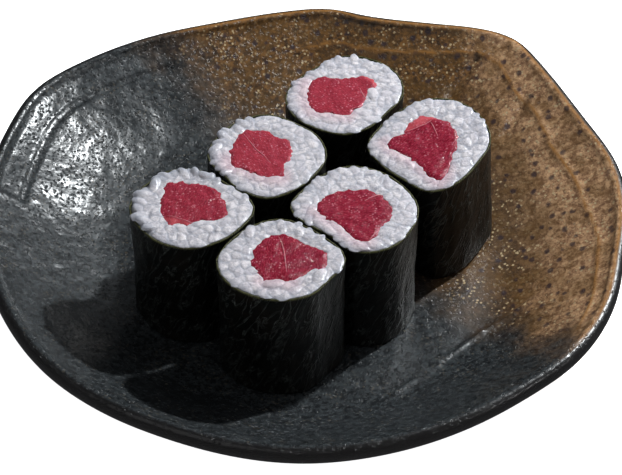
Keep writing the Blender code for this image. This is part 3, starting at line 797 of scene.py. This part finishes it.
for number, roll in rolls.items():
    dice = random.Random(number)
    grains, laid = lay_grains(number, roll, dice)

    # The core is the solid rice, lower, clear of the nori and reaching in under the fish.
    core = copy_node(f"rice_{number}_core", f"rice_{number}")
    core.data.transform(roll.stand.inverted())
    points = read_vectors(core.data.vertices)
    points[:, 2] -= CORE_DROP * (points[:, 2] > -2)
    degrees, reach, fish_edge, nori_edge = roll.edges_at(points)
    at_nori = reach > nori_edge - 1.3
    at_fish = reach < fish_edge + 1.0
    points[at_nori, :2] *= 1 + (np.where(points[:, 2] > -1, CORE_SPREAD, -0.15) / reach)[at_nori, None]
    points[at_fish, :2] *= 1 - UNDER_FISH / reach[at_fish, None]
    write_points(core.data, points)

    # Its top becomes a slab that the grains are fused to, and the rest fills the roll below.
    slab = bpy.data.objects.new(f"rice_grains_{number}", core.data.copy())
    bpy.context.collection.objects.link(slab)
    points[:, 2] = np.maximum(points[:, 2], -SLAB_DEPTH)
    write_points(slab.data, points)
    solo(slab)
    for copy in grains:
        copy.select_set(True)
    bpy.ops.object.join()
    apply_modifier(slab, "REMESH", mode="VOXEL", voxel_size=RICE_VOXEL)
    apply_modifier(slab, "SMOOTH", factor=0.5, iterations=2)
    points = read_vectors(core.data.vertices)
    points[:, 2] -= 1.0 * (points[:, 2] > -2)
    write_points(core.data, points)
    solo(slab)
    core.select_set(True)
    bpy.ops.object.join()

    # The knife pressed the grains flat, except the loose ones, and creases are left between them.
    proud_from, proud_to, proudness = PROUD[number]
    points = read_vectors(slab.data.vertices)
    degrees, reach, fish_edge, nori_edge = roll.edges_at(points)
    off_middle = np.abs((degrees - (proud_from + proud_to) / 2 + 180) % 360 - 180)
    off_proud = np.clip(off_middle - (proud_to - proud_from) / 2, 0, None)
    loose = proudness * hump(off_proud, 12) * np.clip(1.4 - (nori_edge - reach) / 2.4, 0, 1)
    depths = ellipsoid_depth(points, laid)
    owners = np.argmin(depths, axis=1)
    depths = np.sort(depths, axis=1)
    crease_and_shade = np.clip(1 - (depths[:, 1] - depths[:, 0]) / CREASE_WIDTH, 0, 1)
    on_cut = points[:, 2] > PRESSED_DOWN_TO
    flattened = CROWN + (points[:, 2] - CROWN) * (PRESSED + (1 - PRESSED) * loose)
    flattened += 0.07 * wander(points, 0.9, number) - CREASE_DEPTH * crease_and_shade
    points[on_cut, 2] = flattened[on_cut]
    limit = nori_edge + np.interp(points[:, 2], (-3.0, -0.2, 0.0), (-0.8, -0.4, 0.35))
    points[:, :2] *= np.minimum(1, limit / np.maximum(reach, 1))[:, None]
    write_points(slab.data, points)

    # What the material reads: creases, darkened there as painted shade, a tone for each grain, the clear
    # outer grains, the stain.
    write_attribute(slab.data, "crease_and_shade", crease_and_shade)
    write_attribute(slab.data, "tone", np.array([dice.random() for _ in laid])[owners])
    outer = np.clip(1 - (nori_edge - reach) / 2.2, 0, 1) ** 1.5
    write_attribute(slab.data, "outer", np.maximum(outer * 0.7, loose))
    stain = np.zeros(len(points))
    if number in STAINS:
        middle, spread = STAINS[number]
        away = np.abs((degrees - middle + 180) % 360 - 180)
        stain = 0.35 * hump(np.clip(away - spread, 0, None), 12)
        stain *= hump(np.clip(reach - fish_edge, 0, None), 2.2)
    write_attribute(slab.data, "stain", stain)

    slab.data.transform(roll.stand)
    points = read_vectors(slab.data.vertices)
    points[:, 2] = np.minimum(points[:, 2], cad_box[1][2] - TOP_CLEARANCE * MM)
    write_points(slab.data, points)
    slab.data.shade_smooth()
    slab.data.materials.clear()
    slab.data.materials.append(rice)
    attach(slab, "root")
    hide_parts(f"rice_{number}")

bpy.data.objects.remove(grain)


# ---- Floor and light
# A plain white table top. One small studio light behind the dish on the right, with the wide
# cool glow of a window round it, a weak fill from the front left and a weaker lamp at the right.

TABLE_SIZE = 3.0
KEY_FROM = Vector((0.57, 0.45, 0.68))
FILL_FROM = Vector((-0.5, -0.6, 0.75))
SIDE_FROM = Vector((0.85, -0.35, 0.45))
WHITE = (1.0, 1.0, 1.0)
ROOM_COLOUR = (0.9, 0.95, 1.0, 1.0)
ROOM_STRENGTH = 0.1
# Each lamp: name, direction it stands in, distance and size in metres, watts, linear colour.
LAMPS = (
    ("key_light", KEY_FROM, 0.62, 0.024, 4.8, (0.94, 0.98, 1.0)),
    ("window_light", KEY_FROM, 0.8, 0.8, 0.85, (0.88, 0.95, 1.0)),
    ("fill_light", FILL_FROM, 0.8, 0.7, 0.5, WHITE),
    ("side_light", SIDE_FROM, 0.7, 0.12, 0.3, WHITE),
)

bpy.ops.mesh.primitive_plane_add(size=TABLE_SIZE, location=(0, 0, 0))
table = bpy.context.active_object
table.name = "table_top"
# Matt painted board: white all over, and bright enough that the dish stands on plain white.
paint, paint_shader = new_material("matt_white_board")
add_node(paint, paint_shader, {"Base Color": linear("#f4f4f4"), "Roughness": 0.9,
                               "Emission Color": linear("#ffffff"), "Emission Strength": 1.0})
table.data.materials.append(paint)
table.visible_glossy = False    # the board would put a pale sheen on every dark side

for light_name, light_from, distance, size, energy, colour in LAMPS:
    light = bpy.data.objects.new(light_name, bpy.data.lights.new(light_name, "AREA"))
    light.data.shape = "DISK"
    light.data.size = size
    light.data.energy = energy
    light.data.color = colour
    light.location = CAMERA_TARGET + light_from.normalized() * distance
    light.rotation_euler = (-light_from).to_track_quat("-Z", "Y").to_euler()
    bpy.context.collection.objects.link(light)

world = bpy.data.worlds.new("studio")
world.use_nodes = True
world.node_tree.nodes["Background"].inputs["Color"].default_value = ROOM_COLOUR
world.node_tree.nodes["Background"].inputs["Strength"].default_value = ROOM_STRENGTH
bpy.context.scene.world = world
bpy.context.scene.view_settings.view_transform = "Standard"
